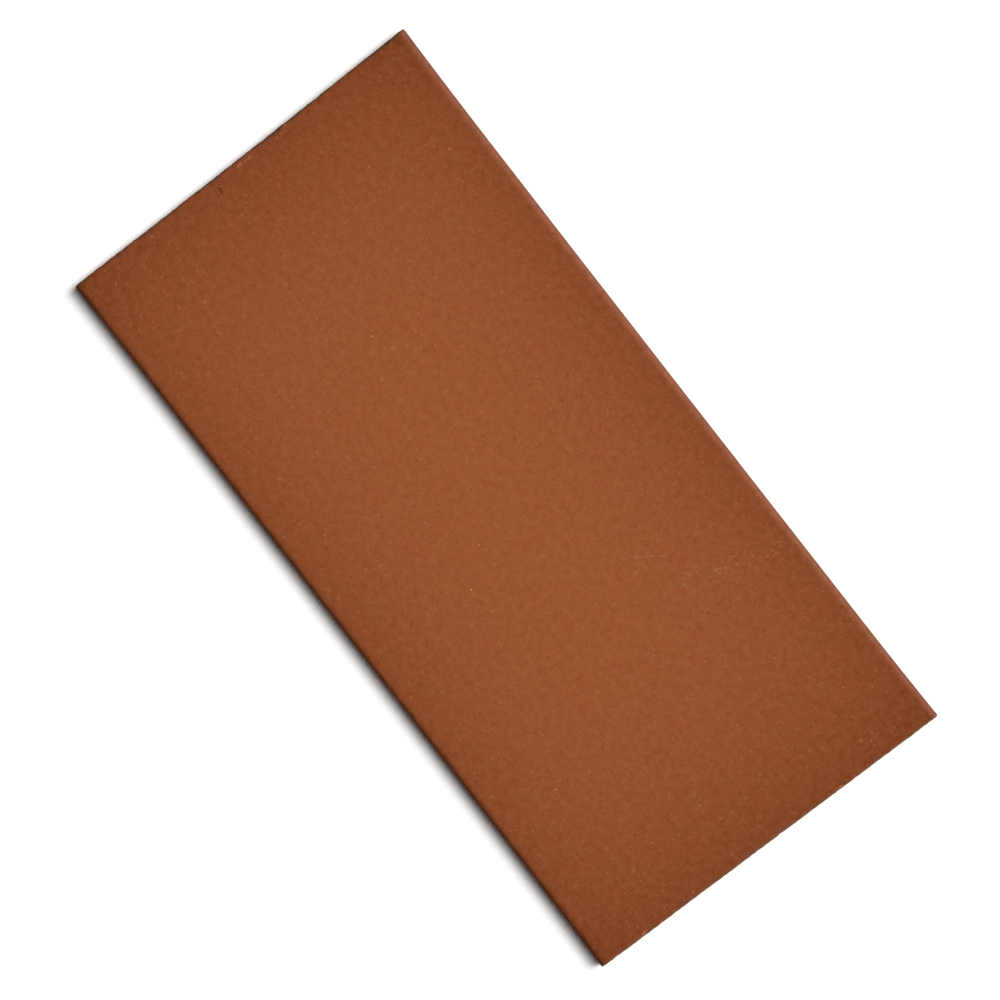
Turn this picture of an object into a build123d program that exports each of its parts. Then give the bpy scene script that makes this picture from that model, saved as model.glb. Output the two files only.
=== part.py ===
from build123d import *
from math import radians, tan
import os

# Split floor tile: one piece of unglazed fired clay.
# The clay is extruded as two tiles back to back, wire-cut to length, fired, and then split apart
# along the ribs that join the pair. So one section across the width runs straight from end to end:
# rounded edges on the walking face, dovetail grooves for the mortar between the split ribs.
# X runs along the extrusion, Y across the width and Z up out of the walking face. The origin is
# the middle of the underside, level with the split ribs that the tile lies on. Millimetres.

# Driving dimensions of the tile
tile_length = 240.0  # from one wire-cut end to the other
tile_width = 115.0  # from one long side to the other
tile_thickness = 11.0  # from the split ribs up to the walking face
arris_radius = 2.0  # rounding of the walking face's long edges
split_notch = 1.0  # bevel of the lower long edges, half of the notch that starts the split

# Driving dimensions of the ribbed back
groove_mouth = 9.0  # width of a groove where it opens between two ribs
groove_depth = 3.0  # height of the ribs
groove_undercut = 22.0  # lean of a groove's walls from upright, in degrees, which locks the mortar in
groove_root_radius = 0.8  # rounding of a groove's inner corners
rib_width = 9.0  # split face between two grooves
least_edge_rib = 6.5  # narrowest rib that may stand along a long side, bevel included

# Sizes that follow
groove_root = groove_mouth + 2 * groove_depth * tan(radians(groove_undercut))
groove_pitch = groove_mouth + rib_width
groove_count = int((tile_width - 2 * least_edge_rib + rib_width) // groove_pitch)

# One dovetail groove, seen along the tile, with its mouth on the split plane
with BuildSketch() as groove:
    with BuildLine():
        Polyline(
            (-groove_mouth / 2, 0),
            (groove_mouth / 2, 0),
            (groove_root / 2, groove_depth),
            (-groove_root / 2, groove_depth),
            close=True,
        )
    make_face()
    fillet(groove.vertices().group_by(Axis.Y)[-1], groove_root_radius)

# The tile, from its section at mid-length out to both wire-cut ends
with BuildPart() as tile_body:
    with BuildSketch(Plane.YZ) as section:
        Rectangle(tile_width, tile_thickness, align=(Align.CENTER, Align.MIN))
        fillet(section.vertices().group_by(Axis.Y)[-1], arris_radius)
        chamfer(section.vertices().group_by(Axis.Y)[0], split_notch)
        with GridLocations(groove_pitch, 0, groove_count, 1):
            add(groove.sketch, mode=Mode.SUBTRACT)
    extrude(amount=tile_length / 2, both=True)

tile_body.part.label = "tile_body"

os.makedirs("parts", exist_ok=True)
export_step(tile_body.part, "parts/tile_body.step")
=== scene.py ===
"""Dresses the split floor tile: its mesh, three clay finishes, a pale floor, studio light and a camera.

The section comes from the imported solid's own end face. Geometry Nodes carry it along the length and give
the clay its relief: wire-cut ends that crumble at the edge, ribs of broken clay on the back, a face and long
sides as they left the die, and the small waist and skew that drying and firing leave. All lengths are metres,
in the part's own frame: X along the extrusion, Y across the width, Z up out of the walking face.
"""

import sys
import logging
from dataclasses import dataclass, field
from enum import Enum
from math import cos, pi, radians, sin
from typing import Any

import bmesh
import bpy
import numpy as np
from mathutils import Matrix, Vector
from mathutils.geometry import delaunay_2d_cdt


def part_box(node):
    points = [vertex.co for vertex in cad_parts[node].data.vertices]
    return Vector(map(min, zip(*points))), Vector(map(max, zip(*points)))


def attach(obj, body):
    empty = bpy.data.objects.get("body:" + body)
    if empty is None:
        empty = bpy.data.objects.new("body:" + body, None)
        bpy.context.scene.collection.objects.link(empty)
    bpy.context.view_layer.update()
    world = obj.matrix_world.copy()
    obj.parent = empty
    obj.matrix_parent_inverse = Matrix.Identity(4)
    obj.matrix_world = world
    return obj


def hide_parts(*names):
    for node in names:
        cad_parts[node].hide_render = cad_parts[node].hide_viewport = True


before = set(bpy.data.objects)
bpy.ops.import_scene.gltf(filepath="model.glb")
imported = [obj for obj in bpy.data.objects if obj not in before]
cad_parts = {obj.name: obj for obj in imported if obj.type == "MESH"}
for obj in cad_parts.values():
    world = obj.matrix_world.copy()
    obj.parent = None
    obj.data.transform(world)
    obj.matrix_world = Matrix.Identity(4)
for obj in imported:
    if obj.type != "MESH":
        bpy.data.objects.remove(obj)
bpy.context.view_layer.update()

log = logging.getLogger("split_tile")

MM = 0.001  # one millimetre
TILE_NODE = "tile_body"
BAKE_MAP = "OFBake"  # the name of the unrolled map that patterns are baked through
BARE_CLAY = "bare_clay"  # the name of the tile's attribute that is 1 where a chip lays fresh clay bare
SHEEN_ATTRIBUTE = "rubbed"  # the name of the tile's attribute that is 1 where the back arris, which faces the key, has the most painted sheen
WORN_EDGE_TINT = "grimed"  # the name of the tile's attribute that is 1 where a worn edge of the ends is tinted darkest


def linear(hex_colour: str) -> tuple[float, float, float, float]:
    """Turns an sRGB hex colour into linear light.

    Args:
        hex_colour: the colour, such as "#9a5635".

    Returns:
        Red, green, blue and an alpha of 1.
    """
    shares = [int(hex_colour[i : i + 2], 16) / 255 for i in (1, 3, 5)]
    red, green, blue = (s / 12.92 if s <= 0.04045 else ((s + 0.055) / 1.055) ** 2.4 for s in shares)
    return red, green, blue, 1.0


def add(
    tree: bpy.types.NodeTree, kind: str, inputs: dict[int | str, Any] | None = None, **settings: Any
) -> Any:
    """Adds a node to a shader or geometry tree, sets it up and links it.

    Args:
        tree: the tree that the node goes into.
        kind: Blender's type name of the node.
        inputs: for each input in use, by its name or its number, a plain value, the node or socket that
            feeds it, or a list of them where it takes several. A node feeds it from its first output in use.
        settings: the node's own properties.

    Returns:
        The new node.
    """
    node = tree.nodes.new(kind)
    for name, value in settings.items():
        setattr(node, name, value)
    in_use = [socket for socket in node.inputs if socket.enabled]
    for key, value in (inputs or {}).items():
        socket = in_use[key] if isinstance(key, int) else next(s for s in in_use if s.name == key)
        for source in value if isinstance(value, list) else [value]:
            if isinstance(source, bpy.types.Node):
                source = next(s for s in source.outputs if s.enabled)
            if isinstance(source, bpy.types.NodeSocket):
                tree.links.new(source, socket)
            else:
                socket.default_value = source
    return node


def tinted(tree: bpy.types.NodeTree, base: Any, share: Any, tint: str) -> Any:
    """Adds a node that tints a colour.

    Args:
        tree: the material's tree.
        base: the node of the colour so far.
        share: how much of the tint shows, from 0 to 1.
        tint: the tint, as an sRGB hex colour.

    Returns:
        The node that gives the tinted colour.
    """
    return add(tree, "ShaderNodeMix", {"Factor": share, "A": base, "B": linear(tint)}, data_type="RGBA")


class Zone(Enum):
    """A part of the tile's surface that was made in its own way, and so has a relief of its own."""

    SKIN = "skin"
    ARRIS = "arris"
    CUT_END = "cut end"
    CUT_EDGE = "cut edge"
    SPLIT_RIB = "split rib"


@dataclass(frozen=True)
class Relief:
    """One kind of unevenness in the clay: a noise that eats inwards from the nominal surface.

    Attributes:
        name: what a maker would call it, and the name of its depth among the tree's inputs.
        zone: where it is found.
        depth: how deep it goes, or at a cut edge, how much it adds to the radius that the edge is worn to.
        grain: length of one lump along X, Y and Z.
        low: noise level below which the surface stays nominal.
        high: noise level at which the relief has its full depth.
        detail: how many finer layers the noise has.
        seed: where the noise starts, so that no two reliefs are alike.
        bares: whether it breaks through the skin and lays fresh clay bare.
    """

    name: str
    zone: Zone
    depth: float
    grain: tuple[float, float, float]
    low: float
    high: float
    detail: float
    seed: float
    bares: bool = False


@dataclass(frozen=True)
class ClaySpecks:
    """Grains that stand out of the clay, spread through it at random.

    Attributes:
        spacing: mean distance between grains inside the clay.
        radius: size of the largest grain.
        share: share of the grains that stand out.
        colour: colour of a grain.
        strength: how much of that colour shows.
        height: how far a grain stands up; below zero, it is a pit.
    """

    spacing: float
    radius: float
    share: float
    colour: str
    strength: float
    height: float = 0.0

    def mask(self, tree: bpy.types.NodeTree, place: Any) -> Any:
        """Adds the nodes that are 1 inside a grain and 0 outside.

        Args:
            tree: the material's tree.
            place: the coordinates that the grains lie in.

        Returns:
            The node that gives the mask.
        """
        cell = add(tree, "ShaderNodeTexVoronoi", {"Vector": place, "Scale": 1 / self.spacing})
        chance = add(tree, "ShaderNodeSeparateColor", {"Color": cell.outputs["Color"]})
        size = add(
            tree,
            "ShaderNodeMapRange",
            {
                "Value": chance.outputs["Red"],
                "From Min": 1 - self.share,
                "From Max": 1.0,
                "To Min": 0.0,
                "To Max": self.radius / self.spacing,
            },
        )
        edge = add(tree, "ShaderNodeMath", {0: size, 1: cell.outputs["Distance"]}, operation="SUBTRACT")
        softness = 0.3 * self.radius / self.spacing
        return add(tree, "ShaderNodeMath", {0: edge, 1: 1 / softness}, operation="MULTIPLY", use_clamp=True)


@dataclass(frozen=True)
class Scrape:
    """A mark that something left across the walking face: a broken streak between two points.

    Attributes:
        start: where it starts, along X and Y.
        stop: where it stops.
        width: how far it reaches to either side.
        colour: colour of the scraped clay.
        strength: how much of that colour shows.
        crumb: size of the pieces that the streak is broken into.
        gaps: share of the streak that is left out between the pieces.
    """

    start: tuple[float, float]
    stop: tuple[float, float]
    width: float
    colour: str
    strength: float
    crumb: float
    gaps: float

    def mask(self, tree: bpy.types.NodeTree, place: Any, level: float) -> Any:
        """Adds the nodes that are up to 1 on the scrape and 0 away from it.

        Args:
            tree: the material's tree.
            place: the coordinates that the scrape lies in.
            level: the height of the walking face.

        Returns:
            The node that gives the mask.
        """
        start, stop = Vector((*self.start, level)), Vector((*self.stop, level))
        run = stop - start
        offset = add(tree, "ShaderNodeVectorMath", {0: place, 1: start}, operation="SUBTRACT")
        slope = run / run.length_squared
        reach = add(tree, "ShaderNodeVectorMath", {0: offset, 1: slope}, operation="DOT_PRODUCT")
        share = add(tree, "ShaderNodeClamp", {"Value": reach.outputs["Value"]})
        along = add(tree, "ShaderNodeVectorMath", {0: run, "Scale": share}, operation="SCALE")
        gap = add(tree, "ShaderNodeVectorMath", {0: offset, 1: along}, operation="DISTANCE")
        near = add(
            tree,
            "ShaderNodeMapRange",
            {"Value": gap.outputs["Value"], "From Max": self.width, "To Min": self.strength, "To Max": 0.0},
        )
        noise = add(tree, "ShaderNodeTexNoise", {"Vector": place, "Scale": 1 / self.crumb, "Detail": 2.0})
        least = 0.3 + 0.4 * self.gaps
        broken = add(tree, "ShaderNodeMapRange", {"Value": noise, "From Min": least, "From Max": least + 0.1})
        return add(tree, "ShaderNodeMath", {0: near, 1: broken}, operation="MULTIPLY")


@dataclass(frozen=True)
class FiredClay:
    """Red-burning clay, fired unglazed: what all the tile's surfaces share.

    It is dull and dense, never one colour: redder and browner clouds a few millimetres across, a fine sandy
    grain, pale grains of crushed fired clay and small dark pits. The back arris is tinted paler and greyer as
    painted sheen where the key lights it, the worn edges of the ends a darker grey-brown, and chips show
    fresh clay.

    Attributes:
        name: the material's name.
        red: the redder clouds.
        brown: the browner clouds.
        cloud: size of a cloud.
        grit: size of the coarsest lumps of the sandy grain; the real grain is finer than a pixel shows, so
            the noise stops at a quarter of a millimetre.
        grit_layers: how many times the lumps are halved.
        grit_deep: colour that the hollows of the grain tend to.
        grit_pale: colour that its tips tend to.
        grit_height: how far the grain stands up.
        roughness: roughness of the dullest and of the smoothest spots.
        specks: the grains that stand out.
        ragged: how far their outlines wander.
        rubbed: paler, greyer colour painted on the back arris as sheen where the key lights it.
        grimed: darker grey-brown that the worn edges of the ends are tinted to.
        fresh: colour of the clay in a chip.
    """

    name: str
    red: str = "#9d5431"
    brown: str = "#9a5732"
    cloud: float = 5 * MM
    grit: float = 2.2 * MM
    grit_layers: float = 3.5
    grit_deep: str = "#85411b"
    grit_pale: str = "#b06844"
    grit_height: float = 0.03 * MM
    roughness: tuple[float, float] = (0.92, 0.78)
    specks: tuple[ClaySpecks, ...] = (
        ClaySpecks(8 * MM, 0.5 * MM, 0.8, "#d2986f", 0.7),
        ClaySpecks(1.6 * MM, 0.34 * MM, 0.8, "#bb7851", 0.42),
        ClaySpecks(3.2 * MM, 0.75 * MM, 0.7, "#ad7049", 0.25),
        ClaySpecks(1.9 * MM, 0.36 * MM, 0.6, "#5c2a10", 0.33, -0.05 * MM),
    )
    ragged: float = 0.4 * MM
    # painted sheen: a paler, greyer tint that stands in for the key's sheen on the back arris
    rubbed: str = "#866a5b"
    grimed: str = "#54473e"
    fresh: str = "#a9683f"

    def coloured(self, tree: bpy.types.NodeTree, place: Any, wandering: Any) -> Any:
        """Adds the clay's colour before grain and specks.

        Args:
            tree: the material's tree.
            place: object coordinates.
            wandering: the same coordinates, but wandering.

        Returns:
            The node that gives the colour.
        """
        cloud = add(tree, "ShaderNodeTexNoise", {"Vector": place, "Scale": 1 / self.cloud, "Detail": 2.0})
        cloud = add(tree, "ShaderNodeMapRange", {"Value": cloud, "From Min": 0.3, "From Max": 0.7})
        return tinted(tree, linear(self.red), cloud, self.brown)

    def raised(self, tree: bpy.types.NodeTree, place: Any, grit: Any) -> Any:
        """Adds the height that the bump follows, before specks.

        Args:
            tree: the material's tree.
            place: object coordinates.
            grit: the node of the sandy grain.

        Returns:
            The node that gives the height in metres.
        """
        return add(tree, "ShaderNodeMath", {0: grit, 1: self.grit_height}, operation="MULTIPLY")

    def wandering(self, tree: bpy.types.NodeTree, place: Any) -> Any:
        """Adds coordinates that wander, so that nothing drawn in them is quite round.

        Args:
            tree: the material's tree.
            place: object coordinates.

        Returns:
            The node that gives the wandering coordinates.
        """
        noise = add(tree, "ShaderNodeTexNoise", {"Vector": place, "Scale": 0.5 / self.ragged, "Detail": 1.0})
        wander = noise.outputs["Color"]
        aside = add(tree, "ShaderNodeVectorMath", {0: wander, 1: (0.5, 0.5, 0.5)}, operation="SUBTRACT")
        reach = (2 * self.ragged, 2 * self.ragged, 2 * self.ragged)
        return add(tree, "ShaderNodeVectorMath", {0: aside, 1: reach, 2: place}, operation="MULTIPLY_ADD")

    def material(self) -> bpy.types.Material:
        """Builds the material.

        Returns:
            The new material.
        """
        material = bpy.data.materials.new(self.name)
        material.use_nodes = True
        tree = material.node_tree
        tree.nodes.clear()
        place = add(tree, "ShaderNodeTexCoord").outputs["Object"]
        wandering = self.wandering(tree, place)
        colour = self.coloured(tree, place, wandering)
        # Tints read from the mesh: painted sheen on the back arris, a darker grey-brown on the worn cut
        # edges, fresh clay in chips
        for attribute, tint in ((SHEEN_ATTRIBUTE, self.rubbed), (WORN_EDGE_TINT, self.grimed), (BARE_CLAY, self.fresh)):
            share = add(tree, "ShaderNodeAttribute", attribute_name=attribute).outputs["Fac"]
            colour = tinted(tree, colour, share, tint)
        grit = add(
            tree,
            "ShaderNodeTexNoise",
            {"Vector": place, "Scale": 1 / self.grit, "Detail": self.grit_layers, "Roughness": 0.9},
        )
        swing = Vector(linear(self.grit_pale)[:3]) - Vector(linear(self.grit_deep)[:3])
        middle = add(tree, "ShaderNodeMath", {0: grit, 1: 0.5}, operation="SUBTRACT")
        colour = add(tree, "ShaderNodeVectorMath", {0: middle, 1: swing, 2: colour}, operation="MULTIPLY_ADD")
        height = self.raised(tree, place, grit)
        for speck in self.specks:
            mask = speck.mask(tree, wandering)
            if speck.height:
                raised = {0: mask, 1: speck.height, 2: height}
                height = add(tree, "ShaderNodeMath", raised, operation="MULTIPLY_ADD")
            shown = add(tree, "ShaderNodeMath", {0: mask, 1: speck.strength}, operation="MULTIPLY")
            colour = tinted(tree, colour, shown, speck.colour)
        dull, smooth = self.roughness
        rough = add(tree, "ShaderNodeMapRange", {"Value": grit, "To Min": dull, "To Max": smooth})
        bump = add(tree, "ShaderNodeBump", {"Strength": 1.0, "Distance": 1.0, "Height": height})
        shader = add(
            tree,
            "ShaderNodeBsdfPrincipled",
            {"Base Color": colour, "Roughness": rough, "IOR": 1.5, "Specular IOR Level": 0.1, "Normal": bump},
        )
        add(tree, "ShaderNodeOutputMaterial", {"Surface": shader})
        return material


@dataclass(frozen=True)
class DieSkin(FiredClay):
    """Fired clay as it left the extruder's die: smooth to the hand, darker towards its margins.

    The face darkens towards its four margins, and the long sides darken from just below the walking face.
    A few scrapes cross the face.

    Attributes:
        darker_margin_colour: colour that the clay darkens to most.
        half_length: half of the tile's length.
        half_width: half of the tile's width.
        level: height of the walking face.
        end_reach: how far the darkening reaches in from the ends.
        side_reach: how far it reaches in from the long sides.
        end_darkness: how strong it is at the ends.
        side_darkness: how strong it is at the long sides.
        wall_start: how far below the walking face the darkening of the long sides starts.
        wall_reach: how far below it they are darkened in full.
        wall_darkness: how strong it is there.
        wall_reach: how far below it they are flashed in full.
        wall_darkness: how strong it is there.
        scrapes: the marks on the walking face.
    """

    darker_margin_colour: str = "#62280a"
    half_length: float = field(kw_only=True)
    half_width: float = field(kw_only=True)
    level: float = field(kw_only=True)
    end_reach: float = 30 * MM
    side_reach: float = 20 * MM
    end_darkness: float = 0.55
    side_darkness: float = 0.45
    wall_start: float = 0.5 * MM
    wall_reach: float = 1.6 * MM
    wall_darkness: float = 0.6
    scrapes: tuple[Scrape, ...] = (
        Scrape((48 * MM, 25 * MM), (56 * MM, 51 * MM), 5 * MM, "#b98a68", 0.6, 0.7 * MM, 0.75),
        Scrape((34 * MM, 18 * MM), (39.5 * MM, 25.5 * MM), 0.3 * MM, "#b98a68", 0.4, 3 * MM, 0.3),
        Scrape((-117 * MM, -3 * MM), (-116.5 * MM, 4 * MM), 0.8 * MM, "#bd7f55", 0.55, 1.2 * MM, 0.5),
        Scrape((-116.5 * MM, 12 * MM), (-116 * MM, 15 * MM), 0.8 * MM, "#bd7f55", 0.55, 1.2 * MM, 0.5),
        Scrape((-116 * MM, -33 * MM), (-116 * MM, -30.5 * MM), 0.8 * MM, "#bd7f55", 0.55, 1.2 * MM, 0.5),
        Scrape((-115 * MM, -9 * MM), (-114 * MM, -9.5 * MM), 0.5 * MM, "#4a2411", 0.9, 4 * MM, 0.0),
    )

    def coloured(self, tree: bpy.types.NodeTree, place: Any, wandering: Any) -> Any:
        """Adds the clay's colour, darker towards the margins, with its scrapes.

        Args:
            tree: the material's tree.
            place: object coordinates.
            wandering: the same coordinates, but wandering.

        Returns:
            The node that gives the colour.
        """
        clay = super().coloured(tree, place, wandering)
        across = add(tree, "ShaderNodeSeparateXYZ", {"Vector": place})
        # Darker towards the four margins of the face, and down the long sides below it
        margin_darknesses = []
        for axis, half, reach, strength in (
            ("X", self.half_length, self.end_reach, self.end_darkness),
            ("Y", self.half_width, self.side_reach, self.side_darkness),
        ):
            out = add(tree, "ShaderNodeMath", {0: across.outputs[axis]}, operation="ABSOLUTE")
            fading = {0: out, 1: 1 / reach, 2: -half / reach}
            inset = add(tree, "ShaderNodeMath", fading, operation="MULTIPLY_ADD")
            margin_darkness = add(tree, "ShaderNodeMath", {0: inset}, operation="EXPONENT")
            margin_darknesses.append(add(tree, "ShaderNodeMath", {0: margin_darkness, 1: strength}, operation="MULTIPLY"))
        levels = {
            "Value": across.outputs["Z"],
            "From Min": self.level - self.wall_start,
            "From Max": self.level - self.wall_reach,
            "To Max": self.wall_darkness,
        }
        margin_darknesses.append(add(tree, "ShaderNodeMapRange", levels))
        total = add(tree, "ShaderNodeCombineXYZ", dict(zip("XYZ", margin_darknesses)))
        margin_darkness = add(tree, "ShaderNodeVectorMath", {0: total}, operation="LENGTH")
        colour = tinted(tree, clay, margin_darkness.outputs["Value"], self.darker_margin_colour)
        for scrape in self.scrapes:
            colour = tinted(tree, colour, scrape.mask(tree, wandering, self.level), scrape.colour)
        return colour


@dataclass(frozen=True)
class WireCut(FiredClay):
    """Fired clay that a taut wire cut while soft: duller, with drag lines down the cut and torn grains.

    Attributes:
        drag: width of a drag line.
        drag_length: length of a drag line down the cut.
        drag_height: height of a drag line.
    """

    red: str = "#94522f"
    brown: str = "#86492b"
    drag: float = 0.6 * MM
    drag_length: float = 12 * MM
    drag_height: float = 0.12 * MM

    def raised(self, tree: bpy.types.NodeTree, place: Any, grit: Any) -> Any:
        """Adds the height that the bump follows, grain and drag lines together.

        Args:
            tree: the material's tree.
            place: object coordinates.
            grit: the node of the sandy grain.

        Returns:
            The node that gives the height in metres.
        """
        grain = super().raised(tree, place, grit)
        line = (self.drag_length, self.drag, self.drag_length)
        stretched = add(tree, "ShaderNodeVectorMath", {0: place, 1: line}, operation="DIVIDE")
        drag = add(tree, "ShaderNodeTexNoise", {"Vector": stretched, "Scale": 1.0, "Detail": 2.0})
        return add(tree, "ShaderNodeMath", {0: drag, 1: self.drag_height, 2: grain}, operation="MULTIPLY_ADD")


@dataclass(frozen=True)
class SplitClay(FiredClay):
    """Fired clay that was broken apart: lighter than the skin, coarse, with its grains laid bare."""

    red: str = "#ab6440"
    brown: str = "#995633"
    cloud: float = 3 * MM
    grit_deep: str = "#5c2a14"
    grit_pale: str = "#cf8758"
    grit_height: float = 0.3 * MM
    roughness: tuple[float, float] = (0.98, 0.9)


@dataclass
class TileSection:
    """The tile's section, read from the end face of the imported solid.

    Attributes:
        node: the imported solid's mesh.
        least_step: points of the outline that stand closer than this are thinned out.
        step: longest step along the outline.
        fill_step: spacing of the points inside the outline.
        corner: turn of the outline that counts as a corner, which always stays.
        back_share: how much of their true width the grooves and ribs keep on the unrolled map.
    """

    node: bpy.types.Mesh
    least_step: float = 0.35 * MM
    step: float = 0.75 * MM
    fill_step: float = 0.55 * MM
    corner: float = radians(20)
    back_share: float = 0.6

    def outline(self) -> np.ndarray:
        """Walks round the solid's +X end, anticlockwise as seen from outside.

        Returns:
            The corners of the outline, as Y and Z, starting at the lower front edge.
        """
        places = np.array([vertex.co for vertex in self.node.vertices])
        end = places[:, 0].max()
        sides: set[tuple[tuple[int, ...], tuple[int, ...]]] = set()
        for face in self.node.polygons:
            corners = places[list(face.vertices)]
            if np.allclose(corners[:, 0], end, atol=MM / 1000):
                keys = [tuple(np.rint(corner[1:] / (MM / 1000)).astype(int)) for corner in corners]
                sides |= set(zip(keys, keys[1:] + keys[:1]))
        follow = {start: stop for start, stop in sides if (stop, start) not in sides}
        walk = [min(follow)]
        while follow[walk[-1]] != walk[0]:
            walk.append(follow[walk[-1]])
        return np.array(walk) * (MM / 1000)

    def stepped(self) -> np.ndarray:
        """Thins out the outline where it is too fine and divides it where it is too coarse.

        Returns:
            The points of the outline, as Y and Z, with the first one repeated at the end.
        """
        points = self.outline()
        kept = [points[0]]
        for i in range(1, len(points)):
            before = points[i] - points[i - 1]
            after = points[(i + 1) % len(points)] - points[i]
            turn = abs(np.arctan2(before[0] * after[1] - before[1] * after[0], before @ after))
            if turn > self.corner or np.linalg.norm(points[i] - kept[-1]) > self.least_step:
                kept.append(points[i])
        kept.append(points[0])
        line = [kept[0]]
        for start, stop in zip(kept, kept[1:]):
            pieces = int(np.ceil(np.linalg.norm(stop - start) / self.step))
            line += [start + (stop - start) * (k + 1) / pieces for k in range(pieces)]
        return np.array(line)

    def inside(self, line: np.ndarray) -> np.ndarray:
        """Spreads points inside the outline, in rows that are shifted like bricks.

        Each one is over half of the longest step away from the outline's points, so that none lies on it.

        Args:
            line: the closed outline.

        Returns:
            The points, as Y and Z.
        """
        low, high = line.min(axis=0), line.max(axis=0)
        rows = np.arange(low[1], high[1], self.fill_step * sin(pi / 3))
        columns = np.arange(low[0], high[0], self.fill_step)
        grid = [(y + self.fill_step / 2 * (k % 2), z) for k, z in enumerate(rows) for y in columns]
        points = np.array(grid)
        start, stop = line[:-1], line[1:]
        level = (start[:, 1] > points[:, 1:]) != (stop[:, 1] > points[:, 1:])
        rise = np.where(stop[:, 1] == start[:, 1], 1.0, stop[:, 1] - start[:, 1])
        crossing = start[:, 0] + (points[:, 1:] - start[:, 1]) * (stop[:, 0] - start[:, 0]) / rise
        within = (level & (points[:, :1] < crossing)).sum(axis=1) % 2 == 1
        clear = np.linalg.norm(points[:, None] - start[None], axis=2).min(axis=1) > self.step * 0.52
        return points[within & clear]

    def chart(self, line: np.ndarray) -> np.ndarray:
        """Unrolls the outline for the map, with the grooves and ribs drawn narrower than the face.

        Args:
            line: the closed outline.

        Returns:
            For each point, its distance along the unrolled outline.
        """
        lengths = np.linalg.norm(np.diff(line, axis=0), axis=1)
        side = np.abs(line[:, 0]).max()
        middle = (line[:-1] + line[1:]) / 2
        back = (middle[:, 1] < line[:, 1].max() / 3) & (np.abs(middle[:, 0]) < side - MM / 10)
        return np.concatenate([[0.0], np.cumsum(lengths * np.where(back, self.back_share, 1.0))])

    def mesh(self) -> bpy.types.Mesh:
        """Makes the section's mesh in its own XY plane: the filled section, and its outline as a loose wire.

        Returns:
            The mesh, with the unrolled distance of the wire's points in the attribute "chart".
        """
        line = self.stepped()
        points = np.concatenate([line[:-1], self.inside(line)])
        count = len(line) - 1
        rim = [(i, (i + 1) % count) for i in range(count)]
        filled = delaunay_2d_cdt([Vector(p / MM) for p in points], rim, [], 1, 1e-6)
        fill_places = [(p.x * MM, p.y * MM, 0.0) for p in filled[0]]
        wire_places = [(y, z, 0.0) for y, z in line]
        first = len(fill_places)
        wire = [(first + i, first + i + 1) for i in range(count)]
        mesh = bpy.data.meshes.new("tile_section")
        mesh.from_pydata(fill_places + wire_places, wire, filled[2])
        chart = mesh.attributes.new("chart", "FLOAT", "POINT")
        chart.data.foreach_set("value", np.concatenate([np.zeros(first), self.chart(line)]))
        return mesh


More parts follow.
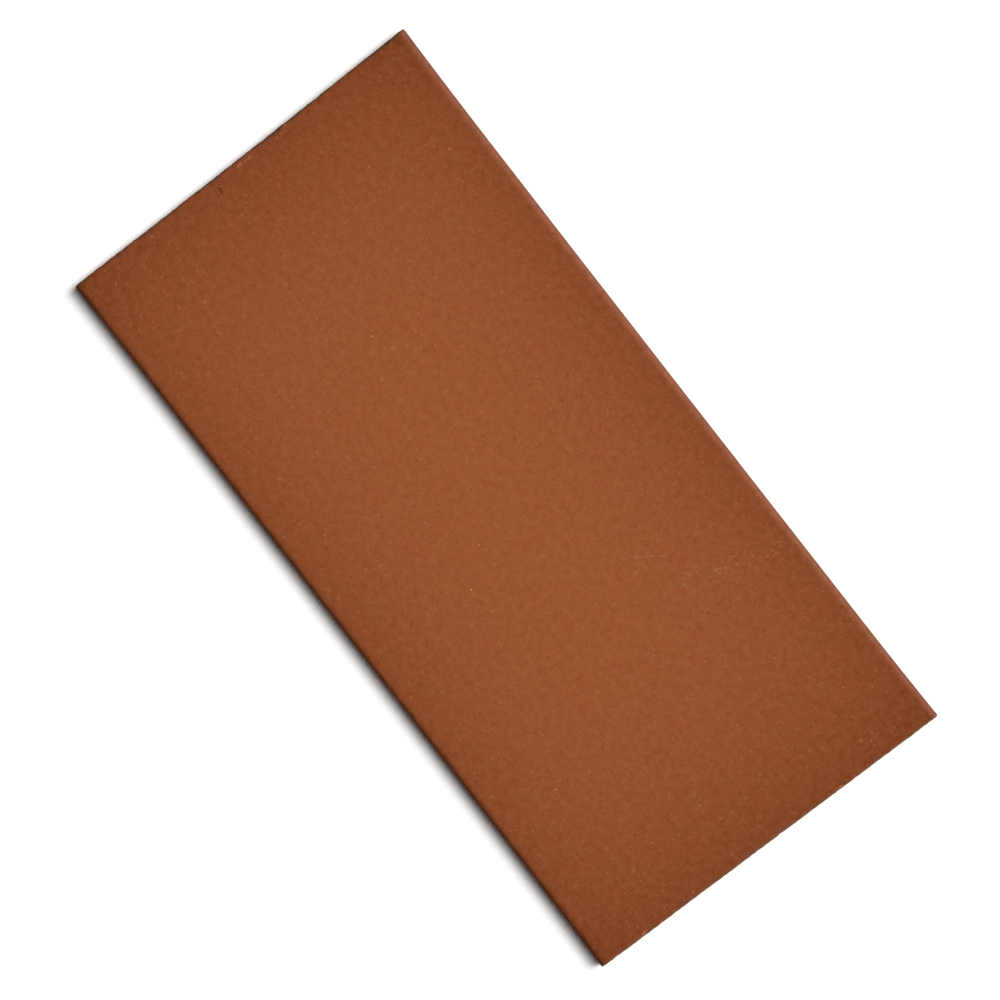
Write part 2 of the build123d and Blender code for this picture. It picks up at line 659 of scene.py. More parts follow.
@dataclass
class TileBody:
    """The tile: one piece of clay, extruded, wire-cut, fired and split from its twin.

    Attributes:
        length: from one nominal end to the other.
        width: from one long side to the other.
        thickness: from the split ribs to the walking face.
        rows: how many rows of faces run round the tile along its length.
        end_packing: how far the rows crowd together towards the ends, from 0 to 1.
        arris: how far the rounded long edges reach.
        wire_reach: how far the marks of the wire reach round the edges of the cut.
        firm_reach: how far from the ends the ribs broke less deeply.
        firm_share: what is left of that depth at the very end.
        upright_share: share of the ends' worn radius that their upright corners have.
        left_inset: how far the left end stands inside its nominal plane.
        right_inset: how far the right end stands inside its nominal plane at the back.
        right_skew: how much further inside the right end stands at the front.
        front_waist: how far the front long side is drawn in at mid-length.
        back_waist: how far the back long side is drawn in at mid-length.
        left_hollow: how far the left end is drawn in at the middle of its width.
        skin_depth: how deep a chip has to be to show fresh clay.
        sheen_reach: how far the painted sheen reaches from the back arris.
        end_tint: how much of the darker grey-brown tint the worn edges of the ends take.
        end_facing: how far a face of the cut ends has to face along X, from 0 to 1.
        rib_facing: how far a face of the broken ribs has to face down, from 0 to 1.
        split_height: how far up the broken clay of the ribs reaches.
        crease: turn between two faces that shows as a sharp edge.
        reliefs: the unevenness of each kind of surface.
    """

    length: float
    width: float
    thickness: float
    rows: int = 190
    end_packing: float = 0.85
    arris: float = 2.0 * MM
    wire_reach: float = 0.4 * MM
    firm_reach: float = 3.0 * MM
    firm_share: float = 0.35
    upright_share: float = 0.3
    left_inset: float = 1.11 * MM
    right_inset: float = 0.51 * MM
    right_skew: float = 1.585 * MM
    front_waist: float = 0.35 * MM
    back_waist: float = 0.5 * MM
    left_hollow: float = 0.3 * MM
    skin_depth: float = 0.25 * MM
    sheen_reach: float = 2.4 * MM
    end_tint: float = 0.45
    end_facing: float = 0.6
    rib_facing: float = 0.5
    split_height: float = 1.3 * MM
    crease: float = radians(38)
    reliefs: tuple[Relief, ...] = (
        Relief("Skin wave", Zone.SKIN, 0.10 * MM, (60 * MM, 35 * MM, 35 * MM), 0.3, 0.7, 1.0, 1.5),
        Relief("Die drag", Zone.SKIN, 0.03 * MM, (120 * MM, 2 * MM, 2 * MM), 0.3, 0.7, 1.0, 4.5),
        Relief("Arris wear", Zone.ARRIS, 0.12 * MM, (7 * MM, 3 * MM, 3 * MM), 0.5, 0.8, 2.0, 7.5),
        Relief("Edge wear", Zone.CUT_EDGE, 1.7 * MM, (6 * MM, 6 * MM, 6 * MM), 0.0, 0.7, 1.0, 22.5),
        Relief("Edge chips", Zone.CUT_EDGE, 1.2 * MM, (3 * MM, 3 * MM, 3 * MM), 0.66, 0.85, 2.0, 10.5, True),
        Relief("Wire drag", Zone.CUT_END, 0.12 * MM, (40 * MM, 1.2 * MM, 14 * MM), 0.3, 0.7, 1.0, 13.5),
        Relief("Torn grains", Zone.CUT_END, 0.3 * MM, (2 * MM, 2 * MM, 2 * MM), 0.56, 0.8, 2.0, 16.5),
        Relief("Broken clay", Zone.SPLIT_RIB, 0.9 * MM, (4 * MM, 4 * MM, 4 * MM), 0.3, 0.75, 3.0, 19.5),
    )

    def finishes(self) -> dict[Zone, FiredClay]:
        """Names the clay of each kind of surface.

        Returns:
            For each zone that has a finish of its own, that finish.
        """
        margins = {"half_length": self.length / 2, "half_width": self.width / 2, "level": self.thickness}
        return {
            Zone.SKIN: DieSkin("fired_clay_die_skin", **margins),
            Zone.SPLIT_RIB: SplitClay("fired_clay_split"),
            Zone.CUT_END: WireCut("fired_clay_wire_cut"),
        }

    def inputs(self) -> dict[str, float | int]:
        """Names the sizes that the tree takes.

        Returns:
            For each input's name, its value.
        """
        sizes: dict[str, float | int] = {
            "Length": self.length,
            "Width": self.width,
            "Thickness": self.thickness,
            "Rows": self.rows,
            "End packing": self.end_packing,
            "Arris": self.arris,
            "Wire reach": self.wire_reach,
            "Firm reach": self.firm_reach,
            "Firm share": self.firm_share,
            "Upright share": self.upright_share,
            "Left inset": self.left_inset,
            "Right inset": self.right_inset,
            "Right skew": self.right_skew,
            "Front waist": self.front_waist,
            "Back waist": self.back_waist,
            "Left hollow": self.left_hollow,
            "Skin depth": self.skin_depth,
            "Rub reach": self.sheen_reach,
            "End grime": self.end_tint,
        }
        return sizes | {relief.name: relief.depth for relief in self.reliefs}

    def swept(self, tree: bpy.types.NodeTree, given: Any) -> Any:
        """Carries the section along the length and closes both ends with it.

        Args:
            tree: the geometry tree.
            given: the node of the tree's inputs.

        Returns:
            The node that gives the closed nominal tile, unrolled for the map.
        """
        half = add(tree, "ShaderNodeMath", {0: given.outputs["Length"], 1: 0.5}, operation="MULTIPLY")
        back = add(tree, "ShaderNodeMath", {0: half, 1: -1.0}, operation="MULTIPLY")
        map_margin, map_spare = 2 * MM, 5 * MM
        span = add(tree, "ShaderNodeMath", {0: given.outputs["Length"], 1: map_spare}, operation="ADD")

        # The path: rows from end to end, closer together near the ends, where the clay crumbles.
        line = add(
            tree,
            "GeometryNodeMeshLine",
            {"Count": given.outputs["Rows"], "Start Location": (-1.0, 0.0, 0.0), "Offset": (1.0, 0.0, 0.0)},
            mode="END_POINTS",
        )
        along = add(tree, "ShaderNodeSeparateXYZ", {0: add(tree, "GeometryNodeInputPosition")})
        turn = add(tree, "ShaderNodeMath", {0: along, 1: pi / 2}, operation="MULTIPLY")
        crowded = add(tree, "ShaderNodeMath", {0: turn}, operation="SINE")
        mixed = add(
            tree,
            "ShaderNodeMix",
            {"Factor": given.outputs["End packing"], "A": along, "B": crowded},
            data_type="FLOAT",
        )
        row = add(tree, "ShaderNodeMath", {0: mixed, 1: half}, operation="MULTIPLY")
        path = add(tree, "GeometryNodeMeshToCurve", {"Mesh": line})
        place = add(tree, "ShaderNodeCombineXYZ", {"X": row})
        path = add(tree, "GeometryNodeSetPosition", {"Geometry": path, "Position": place})
        path = add(tree, "GeometryNodeSetCurveNormal", {"Curve": path}, mode="Z_UP")

        # The walls: the wire swept along the path, turned first, since a sweep turns its profile half round.
        neighbours = add(tree, "GeometryNodeInputMeshEdgeNeighbors")
        loose = add(tree, "FunctionNodeCompare", {0: neighbours, 1: 0}, data_type="INT", operation="EQUAL")
        section = add(
            tree,
            "GeometryNodeSeparateGeometry",
            {"Geometry": given.outputs["Section"], "Selection": loose},
            domain="EDGE",
        )
        wire = add(tree, "GeometryNodeMeshToCurve", {"Mesh": section.outputs["Selection"]})
        wire = add(tree, "GeometryNodeTransform", {"Geometry": wire, "Scale": (-1.0, -1.0, 1.0)})
        walls = add(tree, "GeometryNodeCurveToMesh", {"Curve": path, "Profile Curve": wire})
        chart = add(tree, "GeometryNodeInputNamedAttribute", {"Name": "chart"}, data_type="FLOAT")
        reach = add(tree, "ShaderNodeMath", {0: along, 1: half}, operation="ADD")
        unrolled = add(tree, "ShaderNodeCombineXYZ", {"X": chart, "Y": reach})
        inset = (map_margin, map_margin, 0.0)
        unrolled = add(tree, "ShaderNodeVectorMath", {0: unrolled, 1: inset}, operation="ADD")
        parts = [(walls, unrolled)]

        # The ends: the filled section, stood up at each end and laid beside the walls on the map.
        filled = section.outputs["Inverted"]
        flipped = add(tree, "GeometryNodeFlipFaces", {"Mesh": filled})
        upright = (pi / 2, 0.0, pi / 2)
        beside = add(tree, "ShaderNodeSeparateXYZ", {0: add(tree, "GeometryNodeInputPosition")})
        cap_column, right_row, left_row = 230 * MM, 61 * MM, 181 * MM
        up = add(tree, "ShaderNodeMath", {0: beside.outputs["Z"], 1: cap_column}, operation="ADD")
        for cap, end, side in ((filled, half, right_row), (flipped, back, left_row)):
            shift = add(tree, "ShaderNodeCombineXYZ", {"X": end})
            stood = add(
                tree,
                "GeometryNodeTransform",
                {"Geometry": cap, "Translation": shift, "Rotation": upright},
            )
            down = add(tree, "ShaderNodeMath", {0: beside.outputs["Y"], 1: side}, operation="ADD")
            parts.append((stood, add(tree, "ShaderNodeCombineXYZ", {"X": up, "Y": down})))

        mapped = []
        for part, places in parts:
            scale = add(tree, "ShaderNodeMath", {0: 1.0, 1: span}, operation="DIVIDE")
            value = add(tree, "ShaderNodeVectorMath", {0: places, "Scale": scale}, operation="SCALE")
            mapped.append(
                add(
                    tree,
                    "GeometryNodeStoreNamedAttribute",
                    {"Geometry": part, "Name": BAKE_MAP, "Value": value},
                    data_type="FLOAT2",
                    domain="CORNER",
                )
            )
        joined = add(tree, "GeometryNodeJoinGeometry", {"Geometry": mapped})
        return add(tree, "GeometryNodeMergeByDistance", {"Geometry": joined, "Distance": MM / 200})

    def margins(self, tree: bpy.types.NodeTree, given: Any) -> tuple[Any, Any, Any]:
        """Adds the nodes that measure how far a point stands inside the tile's nominal limits.

        Args:
            tree: the geometry tree.
            given: the node of the tree's inputs.

        Returns:
            The nodes of its distance from the nearer end, the nearer long side and the walking face.
        """
        place = add(tree, "ShaderNodeSeparateXYZ", {0: add(tree, "GeometryNodeInputPosition")})
        margins = []
        for axis, size, share in (("X", "Length", 0.5), ("Y", "Width", 0.5), ("Z", "Thickness", 1.0)):
            out = add(tree, "ShaderNodeMath", {0: place.outputs[axis]}, operation="ABSOLUTE")
            full = add(tree, "ShaderNodeMath", {0: given.outputs[size], 1: share}, operation="MULTIPLY")
            margins.append(add(tree, "ShaderNodeMath", {0: full, 1: out}, operation="SUBTRACT"))
        from_end, from_side, from_top = margins
        return from_end, from_side, from_top

    def zones(self, tree: bpy.types.NodeTree, given: Any, margins: tuple[Any, Any, Any]) -> dict[Zone, Any]:
        """Adds the nodes that find each zone of the surface whose relief sinks straight in.

        Args:
            tree: the geometry tree.
            given: the node of the tree's inputs.
            margins: the nodes of a point's distance from the tile's nominal limits.

        Returns:
            For each zone, the node that is 1 in it and 0 outside.
        """
        from_end, from_side, from_top = margins
        reach = add(tree, "ShaderNodeMath", {0: from_end, 1: given.outputs["Wire reach"]}, operation="DIVIDE")
        cut = add(tree, "ShaderNodeMath", {0: 1.0, 1: reach}, operation="SUBTRACT", use_clamp=True)

        height = add(tree, "ShaderNodeSeparateXYZ", {0: add(tree, "GeometryNodeInputPosition")}).outputs["Z"]
        low = add(tree, "ShaderNodeMath", {0: height, 1: MM / 20}, operation="LESS_THAN")
        reach, least = given.outputs["Firm reach"], given.outputs["Firm share"]
        firm = add(tree, "ShaderNodeMapRange", {"Value": from_end, "From Max": reach, "To Min": least})
        split = add(tree, "ShaderNodeMath", {0: low, 1: firm}, operation="MULTIPLY")

        inner = add(tree, "ShaderNodeMath", {0: from_end, 1: MM}, operation="DIVIDE", use_clamp=True)
        upper = add(tree, "ShaderNodeMath", {0: 1.0, 1: low}, operation="SUBTRACT")
        skin = add(tree, "ShaderNodeMath", {0: inner, 1: upper}, operation="MULTIPLY")

        outer = add(tree, "ShaderNodeMath", {0: from_side, 1: from_top}, operation="MAXIMUM")
        share = add(tree, "ShaderNodeMath", {0: outer, 1: given.outputs["Arris"]}, operation="DIVIDE")
        arris = add(tree, "ShaderNodeMath", {0: 1.2, 1: share}, operation="SUBTRACT", use_clamp=True)
        return {Zone.SKIN: skin, Zone.ARRIS: arris, Zone.CUT_END: cut, Zone.SPLIT_RIB: split}

    def rounded(
        self, tree: bpy.types.NodeTree, given: Any, margins: tuple[Any, Any, Any], radius: Any
    ) -> tuple[Any, Any]:
        """Rounds the edges of the wire-cut ends, along the walking face and down the long sides.

        A point outside the rounding's arc is drawn straight towards the arc's centre, so no face folds over.

        Args:
            tree: the geometry tree.
            given: the node of the tree's inputs.
            margins: the nodes of a point's distance from the tile's nominal limits.
            radius: the node of the rounding's radius, up to that of the arris.

        Returns:
            The nodes of the direction from the arc's centre to the point and of how far it is drawn in.
        """
        from_end, from_side, from_top = margins
        arris = given.outputs["Arris"]
        place = add(tree, "ShaderNodeSeparateXYZ", {0: add(tree, "GeometryNodeInputPosition")})
        end, side = (add(tree, "ShaderNodeMath", {0: place.outputs[axis]}, operation="SIGN") for axis in "XY")

        # Which way is out of the long sides and the walking face, and how deep the point lies under them.
        gap = add(tree, "ShaderNodeMath", {0: arris, 1: from_side}, operation="SUBTRACT")
        gap = add(tree, "ShaderNodeMath", {0: gap, 1: 0.0}, operation="MAXIMUM")
        across = add(tree, "ShaderNodeMath", {0: gap, 1: side}, operation="MULTIPLY")
        gap = add(tree, "ShaderNodeMath", {0: arris, 1: from_top}, operation="SUBTRACT")
        upwards = add(tree, "ShaderNodeMath", {0: gap, 1: 0.0}, operation="MAXIMUM")
        out = add(tree, "ShaderNodeCombineXYZ", {"Y": across, "Z": upwards})
        reach = add(tree, "ShaderNodeVectorMath", {0: out}, operation="LENGTH").outputs["Value"]
        cover = add(tree, "ShaderNodeMath", {0: arris, 1: reach}, operation="SUBTRACT")
        out = add(tree, "ShaderNodeVectorMath", {0: out}, operation="NORMALIZE")

        # The upright corners of the ends are sharper than the edges of the walking face.
        rise = add(tree, "ShaderNodeSeparateXYZ", {"Vector": out}).outputs["Z"]
        share = add(tree, "ShaderNodeMapRange", {"Value": rise, "To Min": given.outputs["Upright share"]})
        radius = add(tree, "ShaderNodeMath", {0: radius, 1: share}, operation="MULTIPLY")

        # The spoke runs from the centre of the arc to the point.
        gap = add(tree, "ShaderNodeMath", {0: radius, 1: cover}, operation="SUBTRACT")
        lift = add(tree, "ShaderNodeMath", {0: gap, 1: 0.0}, operation="MAXIMUM")
        gap = add(tree, "ShaderNodeMath", {0: radius, 1: from_end}, operation="SUBTRACT")
        beyond = add(tree, "ShaderNodeMath", {0: gap, 1: 0.0}, operation="MAXIMUM")
        along = add(tree, "ShaderNodeMath", {0: beyond, 1: end}, operation="MULTIPLY")
        along = add(tree, "ShaderNodeCombineXYZ", {"X": along})
        spoke = add(tree, "ShaderNodeVectorMath", {0: out, 1: lift, 2: along}, operation="MULTIPLY_ADD")
        length = add(tree, "ShaderNodeVectorMath", {0: spoke}, operation="LENGTH").outputs["Value"]
        excess = add(tree, "ShaderNodeMath", {0: length, 1: radius}, operation="SUBTRACT")
        drawn = add(tree, "ShaderNodeMath", {0: excess, 1: 0.0}, operation="MAXIMUM")
        return add(tree, "ShaderNodeVectorMath", {0: spoke}, operation="NORMALIZE"), drawn

    def sheen_mask(self, tree: bpy.types.NodeTree, given: Any, margins: tuple[Any, Any, Any]) -> Any:
        """Adds the nodes that find where the back arris, which faces the key, gets its painted sheen.

        Args:
            tree: the geometry tree.
            given: the node of the tree's inputs.
            margins: the nodes of a point's distance from the tile's nominal limits.

        Returns:
            The node that is 1 where the painted sheen is strongest and 0 where there is none.
        """
        place = add(tree, "ShaderNodeSeparateXYZ", {0: add(tree, "GeometryNodeInputPosition")})
        both = add(tree, "ShaderNodeMath", {0: margins[1], 1: margins[2]}, operation="ADD")
        share = add(tree, "ShaderNodeMath", {0: both, 1: given.outputs["Rub reach"]}, operation="DIVIDE")
        near = add(tree, "ShaderNodeMath", {0: 1.0, 1: share}, operation="SUBTRACT", use_clamp=True)
        squared = add(tree, "ShaderNodeMath", {0: near, 1: 2.0}, operation="POWER")
        # Only the back arris, which faces the key, gets the painted sheen; the shaded front arris gets none
        behind = add(tree, "ShaderNodeMath", {0: place.outputs["Y"], 1: 0.0}, operation="GREATER_THAN")
        return add(tree, "ShaderNodeMath", {0: squared, 1: behind}, operation="MULTIPLY")

    def weathered(self, tree: bpy.types.NodeTree, given: Any, nominal: Any) -> Any:
        """Lets every relief eat inwards from the nominal surface, and marks where it bares the clay, where
        the worn edges of the ends are tinted darker and where the back arris gets its painted sheen.

        Args:
            tree: the geometry tree.
            given: the node of the tree's inputs.
            nominal: the node of the nominal tile.

        Returns:
            The node that gives the uneven tile.
        """
        margins = self.margins(tree, given)
        zones = self.zones(tree, given, margins)
        place = add(tree, "GeometryNodeInputPosition")
        sunk: Any = 0.0
        radius: Any = 0.0
        chips: Any = 0.0
        for relief in self.reliefs:
            lumps = add(tree, "ShaderNodeVectorMath", {0: place, 1: relief.grain}, operation="DIVIDE")
            noise = add(
                tree,
                "ShaderNodeTexNoise",
                {"Vector": lumps, "W": relief.seed, "Scale": 1.0, "Detail": relief.detail},
                noise_dimensions="4D",
            )
            full = given.outputs[relief.name]
            levels = {"Value": noise, "From Min": relief.low, "From Max": relief.high, "To Max": full}
            depth = add(tree, "ShaderNodeMapRange", levels)
            if relief.bares:
                chips = add(tree, "ShaderNodeMath", {0: depth, 1: chips}, operation="ADD")
            if relief.zone is Zone.CUT_EDGE:
                radius = add(tree, "ShaderNodeMath", {0: depth, 1: radius}, operation="ADD")
            else:
                inputs = {0: depth, 1: zones[relief.zone], 2: sunk}
                sunk = add(tree, "ShaderNodeMath", inputs, operation="MULTIPLY_ADD")
        radius = add(tree, "ShaderNodeMath", {0: radius, 1: given.outputs["Arris"]}, operation="MINIMUM")
        spoke, drawn = self.rounded(tree, given, margins, radius)

        skin = given.outputs["Skin depth"]
        lost = add(tree, "ShaderNodeMath", {0: chips, 1: drawn}, operation="MINIMUM")
        bare = add(tree, "ShaderNodeMath", {0: lost, 1: skin}, operation="DIVIDE", use_clamp=True)
        worn = add(tree, "ShaderNodeMath", {0: drawn, 1: skin}, operation="DIVIDE", use_clamp=True)
        # The worn edges of the ends are tinted a darker grey-brown, by how far they are worn
        edge_tint = add(tree, "ShaderNodeMath", {0: worn, 1: given.outputs["End grime"]}, operation="MULTIPLY")
        # Painted sheen on the back arris, which faces the key
        sheen = self.sheen_mask(tree, given, margins)
        for name, value in ((BARE_CLAY, bare), (WORN_EDGE_TINT, edge_tint), (SHEEN_ATTRIBUTE, sheen)):
            nominal = add(
                tree,
                "GeometryNodeStoreNamedAttribute",
                {"Geometry": nominal, "Name": name, "Value": value},
                data_type="FLOAT",
                domain="POINT",
            )

        # The edges are drawn in towards the centre of their rounding, all else along its own normal.
        on_arc = add(tree, "ShaderNodeMath", {0: drawn, 1: 0.0}, operation="GREATER_THAN")
        normal = add(tree, "GeometryNodeInputNormal")
        outwards = add(tree, "ShaderNodeMix", {"Factor": on_arc, "A": normal, "B": spoke}, data_type="VECTOR")
        total = add(tree, "ShaderNodeMath", {0: sunk, 1: drawn}, operation="ADD")
        inwards = add(tree, "ShaderNodeMath", {0: total, 1: -1.0}, operation="MULTIPLY")
        offset = add(tree, "ShaderNodeVectorMath", {0: outwards, "Scale": inwards}, operation="SCALE")
        return add(tree, "GeometryNodeSetPosition", {"Geometry": nominal, "Offset": offset})

    def fired(self, tree: bpy.types.NodeTree, given: Any, tile: Any) -> Any:
        """Draws the outline in, as drying, cutting and firing left it.

        Args:
            tree: the geometry tree.
            given: the node of the tree's inputs.
            tile: the node of the tile so far.

        Returns:
            The node that gives the drawn-in tile.
        """
        place = add(tree, "ShaderNodeSeparateXYZ", {0: add(tree, "GeometryNodeInputPosition")})
        shares = []
        for axis, size in (("X", "Length"), ("Y", "Width")):
            half = add(tree, "ShaderNodeMath", {0: given.outputs[size], 1: 0.5}, operation="MULTIPLY")
            shares.append(add(tree, "ShaderNodeMath", {0: place.outputs[axis], 1: half}, operation="DIVIDE"))
        along, across = shares

        # How much of each end's or side's inset a point takes: all of it at that end, none at the other.
        right, left, behind = (
            add(tree, "ShaderNodeMath", {0: share, 1: 0.5 * sign, 2: 0.5}, operation="MULTIPLY_ADD")
            for share, sign in ((along, 1.0), (along, -1.0), (across, 1.0))
        )
        front = add(tree, "ShaderNodeMath", {0: 1.0, 1: behind}, operation="SUBTRACT")

        # How much of the waist or hollow it takes: all of it in the middle, none at the corners.
        bows = []
        for share, power in ((along, 5.0), (across, 2.0)):
            out = add(tree, "ShaderNodeMath", {0: share}, operation="ABSOLUTE")
            rest = add(tree, "ShaderNodeMath", {0: out, 1: power}, operation="POWER")
            bows.append(add(tree, "ShaderNodeMath", {0: 1.0, 1: rest}, operation="SUBTRACT"))
        waist, hollow = bows

        dent = add(tree, "ShaderNodeMath", {0: hollow, 1: given.outputs["Left hollow"]}, operation="MULTIPLY")
        inset = add(tree, "ShaderNodeMath", {0: dent, 1: given.outputs["Left inset"]}, operation="ADD")
        skew = add(
            tree,
            "ShaderNodeMath",
            {0: front, 1: given.outputs["Right skew"], 2: given.outputs["Right inset"]},
            operation="MULTIPLY_ADD",
        )
        from_left = add(tree, "ShaderNodeMath", {0: inset, 1: left}, operation="MULTIPLY")
        from_right = add(tree, "ShaderNodeMath", {0: skew, 1: right}, operation="MULTIPLY")
        shift = add(tree, "ShaderNodeMath", {0: from_left, 1: from_right}, operation="SUBTRACT")
        front_waist, back_waist = given.outputs["Front waist"], given.outputs["Back waist"]
        from_front = add(tree, "ShaderNodeMath", {0: front, 1: front_waist}, operation="MULTIPLY")
        from_back = add(tree, "ShaderNodeMath", {0: behind, 1: back_waist}, operation="MULTIPLY")
        pull = add(tree, "ShaderNodeMath", {0: from_front, 1: from_back}, operation="SUBTRACT")
        pull = add(tree, "ShaderNodeMath", {0: pull, 1: waist}, operation="MULTIPLY")
        offset = add(tree, "ShaderNodeCombineXYZ", {"X": shift, "Y": pull})
        return add(tree, "GeometryNodeSetPosition", {"Geometry": tile, "Offset": offset})

    def dressed(self, tree: bpy.types.NodeTree, tile: Any) -> Any:
        """Gives each surface the finish that its making left.

        Args:
            tree: the geometry tree.
            tile: the node of the finished shape.

        Returns:
            The node that gives the dressed tile.
        """
        normal = add(tree, "ShaderNodeSeparateXYZ", {0: add(tree, "GeometryNodeInputNormal")})
        place = add(tree, "ShaderNodeSeparateXYZ", {0: add(tree, "GeometryNodeInputPosition")})
        out = add(tree, "ShaderNodeMath", {0: normal.outputs["X"]}, operation="ABSOLUTE")
        end = add(tree, "ShaderNodeMath", {0: out, 1: self.end_facing}, operation="GREATER_THAN")
        rise, height = normal.outputs["Z"], place.outputs["Z"]
        down = add(tree, "ShaderNodeMath", {0: rise, 1: -self.rib_facing}, operation="LESS_THAN")
        low = add(tree, "ShaderNodeMath", {0: height, 1: self.split_height}, operation="LESS_THAN")
        split = add(tree, "ShaderNodeMath", {0: down, 1: low}, operation="MULTIPLY")
        where = {Zone.SKIN: True, Zone.SPLIT_RIB: split, Zone.CUT_END: end}
        tile = add(tree, "GeometryNodeRealizeInstances", {"Geometry": tile})
        for zone, finish in self.finishes().items():
            material = finish.material()
            tile = add(
                tree,
                "GeometryNodeSetMaterial",
                {"Geometry": tile, "Selection": where[zone], "Material": material},
            )
        return tile

    def tree(self) -> bpy.types.NodeTree:
        """Builds the geometry tree that makes the tile out of its section.

        Returns:
            The new tree.
        """
        tree = bpy.data.node_groups.new("tile_from_section", "GeometryNodeTree")
        tree.interface.new_socket("Section", in_out="INPUT", socket_type="NodeSocketGeometry")
        for name, value in self.inputs().items():
            kind = "NodeSocketInt" if isinstance(value, int) else "NodeSocketFloat"
            tree.interface.new_socket(name, in_out="INPUT", socket_type=kind)
        tree.interface.new_socket("Tile", in_out="OUTPUT", socket_type="NodeSocketGeometry")
        given = add(tree, "NodeGroupInput")
        nominal = self.swept(tree, given)
        uneven = self.weathered(tree, given, nominal)
        drawn = self.fired(tree, given, uneven)
        add(tree, "NodeGroupOutput", {"Tile": self.dressed(tree, drawn)})
        return tree

    def build(self) -> bpy.types.Object:
        """Makes the tile's mesh and puts it in the scene.

        Returns:
            The tile, as a plain mesh at the origin.
        """
        section = TileSection(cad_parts[TILE_NODE].data).mesh()
        maker = bpy.data.objects.new("tile_maker", section)
        bpy.context.collection.objects.link(maker)
        modifier = maker.modifiers.new("tile_from_section", "NODES")
        modifier.node_group = self.tree()
        values = self.inputs()
        for socket in modifier.node_group.interface.items_tree:
            if socket.name in values and socket.in_out == "INPUT":
                modifier[socket.identifier] = values[socket.name]
        graph = bpy.context.evaluated_depsgraph_get()
        mesh = bpy.data.meshes.new_from_object(maker.evaluated_get(graph), depsgraph=graph)
        bpy.data.objects.remove(maker)
        mesh.name = "split_tile"
        mesh.polygons.foreach_set("use_smooth", [True] * len(mesh.polygons))
        mesh.set_sharp_from_angle(angle=self.crease)
        tile = bpy.data.objects.new("split_tile", mesh)
        bpy.context.collection.objects.link(tile)
        return tile


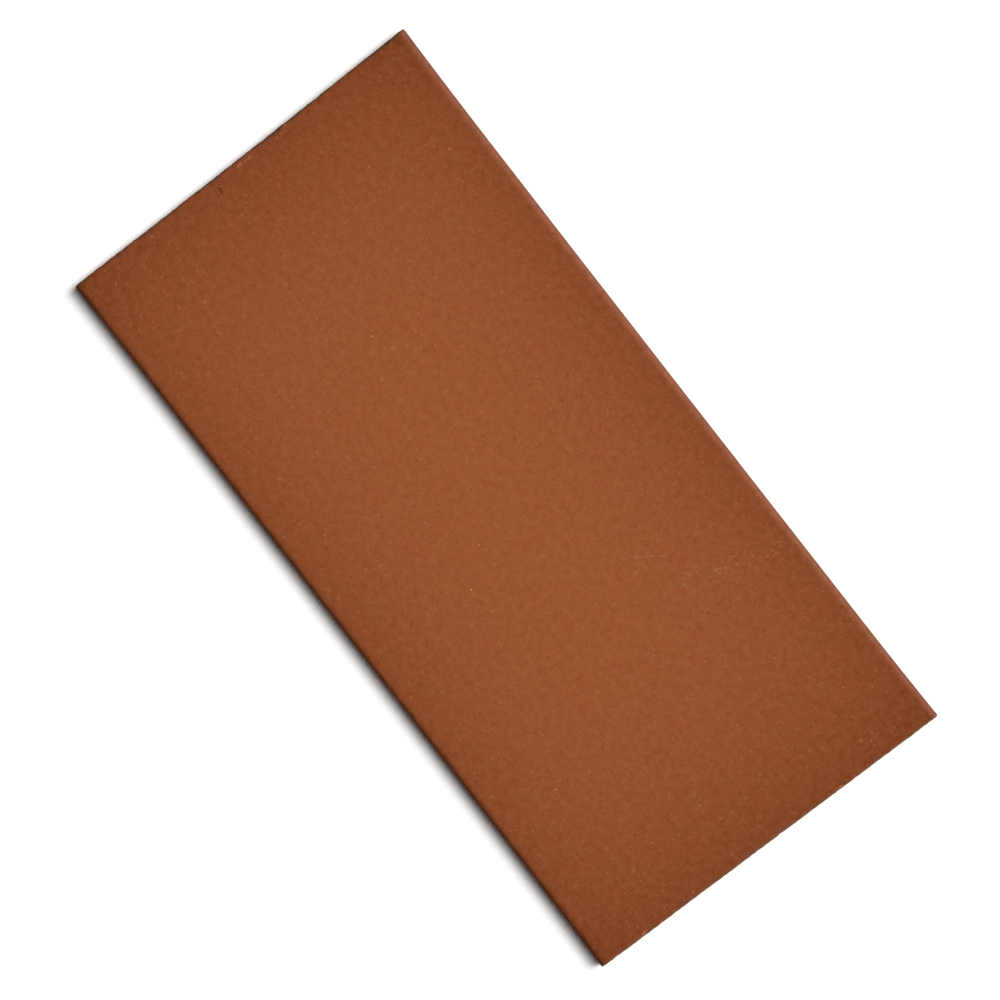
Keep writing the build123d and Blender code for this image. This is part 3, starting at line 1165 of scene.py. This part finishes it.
@dataclass
class Studio:
    """The pale floor, the soft light and the camera.

    Attributes:
        floor_size: side of the floor.
        floor_colour: colour of the floor.
        floor_bounce: colour that the floor has for the light that it throws back at the tile.
        ambient: share of the light that comes from all round.
        key_share: share of the light that the key gives on a level surface of the tile, all that it lights.
        key_zenith: how far the key stands from straight above.
        key_turn: direction that the key stands in, from X towards Y.
        key_spread: apparent width of the key.
        wash_share: light of the washes, which light the floor alone, up to white as in a cut-out picture.
        washes: for each wash, how far it stands from straight above and in which direction.
        wash_spread: apparent width of a wash.
        lens: focal length in millimetres, on a sensor 36 mm wide.
        tilt: how far the camera leans from straight above.
        lean: direction that it leans in, from X towards Y.
        roll: how far the picture is turned.
        distance: from the camera to the point that it looks at.
        aim: the point that it looks at.
    """

    floor_size: float = 12.0
    floor_colour: str = "#f8f8f7"
    floor_bounce: str = "#e2e2e0"
    ambient: float = 0.1
    key_share: float = 0.9
    key_zenith: float = radians(44)
    key_turn: float = radians(65)
    key_spread: float = radians(14)
    wash_share: float = 1.02
    washes: tuple[tuple[float, float], ...] = ((radians(14.9), radians(62.5)), (radians(23.8), radians(73.8)))
    wash_spread: float = radians(14.2)
    lens: float = 180.0
    tilt: float = radians(3.146)
    lean: float = radians(62.55)
    roll: float = radians(52.128)
    distance: float = 1370.0 * MM
    aim: tuple[float, float, float] = (-0.486 * MM, -0.915 * MM, 10 * MM)

    def floor(self) -> bpy.types.Object:
        """Lays the floor, a matte painted board with a faint unevenness in its white.

        Returns:
            The floor.
        """
        material = bpy.data.materials.new("matte_white_board")
        material.use_nodes = True
        tree = material.node_tree
        tree.nodes.clear()
        place = add(tree, "ShaderNodeTexCoord").outputs["Object"]
        noise = add(tree, "ShaderNodeTexNoise", {"Vector": place, "Scale": 1 / (40 * MM), "Detail": 2.0})
        bright = add(tree, "ShaderNodeMapRange", {"Value": noise, "To Min": 0.98, "To Max": 1.0})
        seen = add(tree, "ShaderNodeLightPath").outputs["Is Camera Ray"]
        white = tinted(tree, linear(self.floor_bounce), seen, self.floor_colour)
        colour = add(tree, "ShaderNodeHueSaturation", {"Color": white, "Value": bright})
        shader = add(tree, "ShaderNodeBsdfDiffuse", {"Color": colour})
        add(tree, "ShaderNodeOutputMaterial", {"Surface": shader})

        shape = bmesh.new()
        bmesh.ops.create_grid(shape, x_segments=4, y_segments=4, size=self.floor_size / 2)
        mesh = bpy.data.meshes.new("floor")
        shape.to_mesh(mesh)
        shape.free()
        mesh.materials.append(material)
        floor = bpy.data.objects.new("floor", mesh)
        bpy.context.collection.objects.link(floor)
        return floor

    def lamp(
        self, name: str, lit: bpy.types.Object, share: float, zenith: float, turn: float, spread: float
    ) -> None:
        """Hangs a large soft lamp that lights one thing, far enough away to light all of it alike.

        Args:
            name: the lamp's name.
            lit: what it lights.
            share: what it adds to the brightness of a level white surface.
            zenith: how far it stands from straight above.
            turn: direction that it stands in, from X towards Y.
            spread: its apparent width.
        """
        lamp = bpy.data.lights.new(name, "SUN")
        lamp.energy = share * pi / cos(zenith)
        lamp.angle = spread
        hung = bpy.data.objects.new(name, lamp)
        hung.rotation_euler = (0.0, zenith, turn)
        bpy.context.collection.objects.link(hung)
        lights = bpy.data.collections.new(name)
        lights.objects.link(lit)
        hung.light_linking.receiver_collection = lights

    def light(self, tile: bpy.types.Object, floor: bpy.types.Object) -> None:
        """Lights the tile and the floor.

        Args:
            tile: the tile, which the key lights.
            floor: the floor, which the washes light.
        """
        world = bpy.data.worlds.new("white_room")
        world.use_nodes = True
        tree = world.node_tree
        tree.nodes.clear()
        seen = add(tree, "ShaderNodeLightPath").outputs["Is Camera Ray"]
        strength = add(tree, "ShaderNodeMapRange", {"Value": seen, "To Min": self.ambient, "To Max": 1.0})
        shader = add(tree, "ShaderNodeBackground", {"Color": (1.0, 1.0, 1.0, 1.0), "Strength": strength})
        add(tree, "ShaderNodeOutputWorld", {"Surface": shader})
        bpy.context.scene.world = world
        self.lamp("key", tile, self.key_share, self.key_zenith, self.key_turn, self.key_spread)
        for zenith, turn in self.washes:
            self.lamp("floor_wash", floor, self.wash_share / len(self.washes), zenith, turn, self.wash_spread)

    def camera(self) -> bpy.types.Object:
        """Sets up the camera, nearly straight above the tile, which lies across the picture.

        Returns:
            The camera.
        """
        lens = bpy.data.cameras.new("camera")
        lens.lens = self.lens
        lens.sensor_width = 36.0
        camera = bpy.data.objects.new("camera", lens)
        bpy.context.collection.objects.link(camera)
        back = Vector((sin(self.tilt) * cos(self.lean), sin(self.tilt) * sin(self.lean), cos(self.tilt)))
        right = Vector((-sin(self.roll), cos(self.roll), 0.0)).cross(back).normalized()
        turned = Matrix((right, back.cross(right), back)).transposed()
        camera.matrix_world = Matrix.Translation(Vector(self.aim) + self.distance * back) @ turned.to_4x4()
        bpy.context.scene.camera = camera
        return camera


def check_closed(tile: bpy.types.Object) -> None:
    """Reports how many triangles the tile has, whether it is closed and what it holds.

    Args:
        tile: the finished tile.
    """
    shape = bmesh.new()
    shape.from_mesh(tile.data)
    open_edges = sum(not edge.is_manifold for edge in shape.edges)
    triangles = sum(len(face.verts) - 2 for face in shape.faces)
    litres = shape.calc_volume(signed=True) * 1000
    shape.free()
    log.info("%s: %d triangles, %d open edges, %.4f litres", tile.name, triangles, open_edges, litres)


def main() -> None:
    """Builds the tile, the floor, the light and the camera, and says what was made."""
    logging.basicConfig(level=logging.INFO, format="%(message)s", stream=sys.stdout)
    low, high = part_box(TILE_NODE)
    tile = TileBody(length=high.x - low.x, width=high.y - low.y, thickness=high.z - low.z).build()
    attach(tile, "root")
    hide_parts(TILE_NODE)
    check_closed(tile)

    studio = Studio()
    floor = studio.floor()
    studio.light(tile, floor)
    studio.camera()
    log.info("%s, light and camera set", floor.name)

    scene = bpy.context.scene
    scene.view_settings.view_transform = "Standard"


if __name__ == "__main__":
    main()
